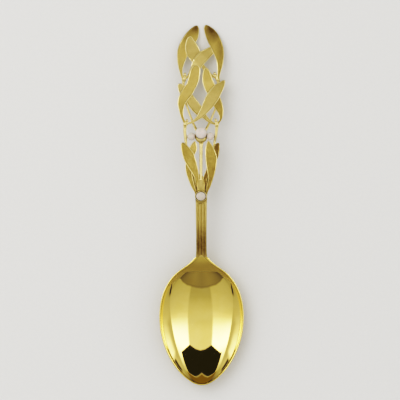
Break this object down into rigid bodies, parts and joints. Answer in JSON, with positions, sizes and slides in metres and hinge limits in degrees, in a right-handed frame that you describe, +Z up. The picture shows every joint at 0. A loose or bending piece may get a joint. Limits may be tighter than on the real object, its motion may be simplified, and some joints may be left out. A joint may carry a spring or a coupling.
{
  "type": "souvenir spoon",
  "caption": "Gilt spoon with an egg-shaped bowl, a flat reeded stem and an openwork handle of interlaced mistletoe leaves, thin twigs and white enamel berries.",
  "frame": {"origin": "on the table plane, under the deepest point of the bowl, in the middle of the small flat the bowl rests on", "axes": "+Z up, out of the open bowl; +Y along the spoon from the bowl towards the handle end; +X to the right when the handle points away from the viewer"},
  "size_m": [0.0374, 0.1597, 0.0161],
  "materials": {
    "gilt_polished": "mirror-polished gold plate on silver",
    "gilt_satin": "satin gold plate on silver, polished on the raised edges",
    "gilt_dark": "toned satin gold plate on silver, polished on the raised edges",
    "enamel_white": "opaque warm white enamel, satin"
  },
  "bodies": {
    "root": {"bowl": "gilt_polished", "stem": "gilt_satin", "sheath": "gilt_satin", "foot_berry_collet": "gilt_polished", "foot_berry": "enamel_white", "leaf_low_left_front": "gilt_dark", "leaf_low_left_back": "gilt_dark", "leaf_low_right_front": "gilt_dark", "leaf_low_right_back": "gilt_dark", "twig_centre": "gilt_satin", "centre_berry_cup": "gilt_polished", "centre_berry": "enamel_white", "left_berry_seat": "gilt_satin", "left_berry": "enamel_white", "right_berry_seat": "gilt_satin", "right_berry": "enamel_white", "twig_side_left": "gilt_satin", "twig_side_right": "gilt_satin", "leaf_mid_left_outer": "gilt_dark", "leaf_mid_right_outer": "gilt_dark", "leaf_mid_left_inner": "gilt_satin", "leaf_mid_right_inner": "gilt_satin", "bud_mid_left": "gilt_polished", "bud_mid_right": "gilt_polished", "twig_top_left": "gilt_satin", "twig_top_right": "gilt_satin", "leaf_top_left_outer": "gilt_dark", "leaf_top_right_outer": "gilt_dark", "leaf_top_left_inner": "gilt_satin", "leaf_top_right_inner": "gilt_satin", "bud_top_left": "gilt_polished", "bud_top_right": "gilt_polished"}
  },
  "joints": []
}
